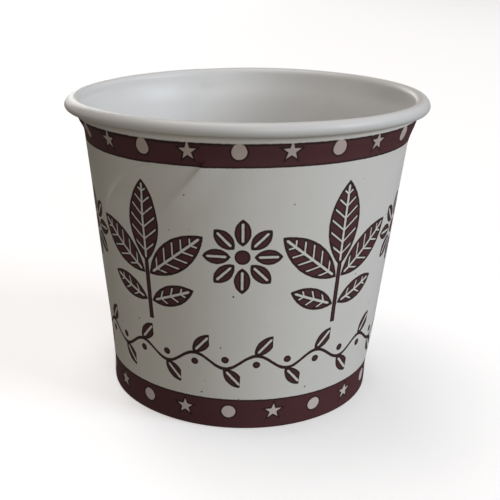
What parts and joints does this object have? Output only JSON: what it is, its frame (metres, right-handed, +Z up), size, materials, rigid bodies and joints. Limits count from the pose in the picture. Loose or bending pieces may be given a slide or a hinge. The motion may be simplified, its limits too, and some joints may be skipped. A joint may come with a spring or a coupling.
{
  "type": "paper cup",
  "caption": "Small single-wall paper cup for hot tea, with a rolled rim, a lapped side seam, a raised floor held in a folded foot, and a thin plastic lining.",
  "frame": {"origin": "centre of the foot ring, on the plane that the cup stands on", "axes": "+Z up along the cup's axis; -Y faces the picture's viewer; the side seam is on the far side, a little to the left of +Y"},
  "size_m": [0.065, 0.065, 0.055],
  "materials": {
    "printed_board": "uncoated bleached cupstock with dark brown printed bands",
    "plain_board": "uncoated bleached cupstock, unprinted",
    "lining": "thin glossy polyethylene film, so clear that the board's white shows through"
  },
  "bodies": {
    "root": {"sidewall": "printed_board", "sidewall_lining": "lining", "bottom_disc": "plain_board", "bottom_lining": "lining"}
  },
  "joints": []
}
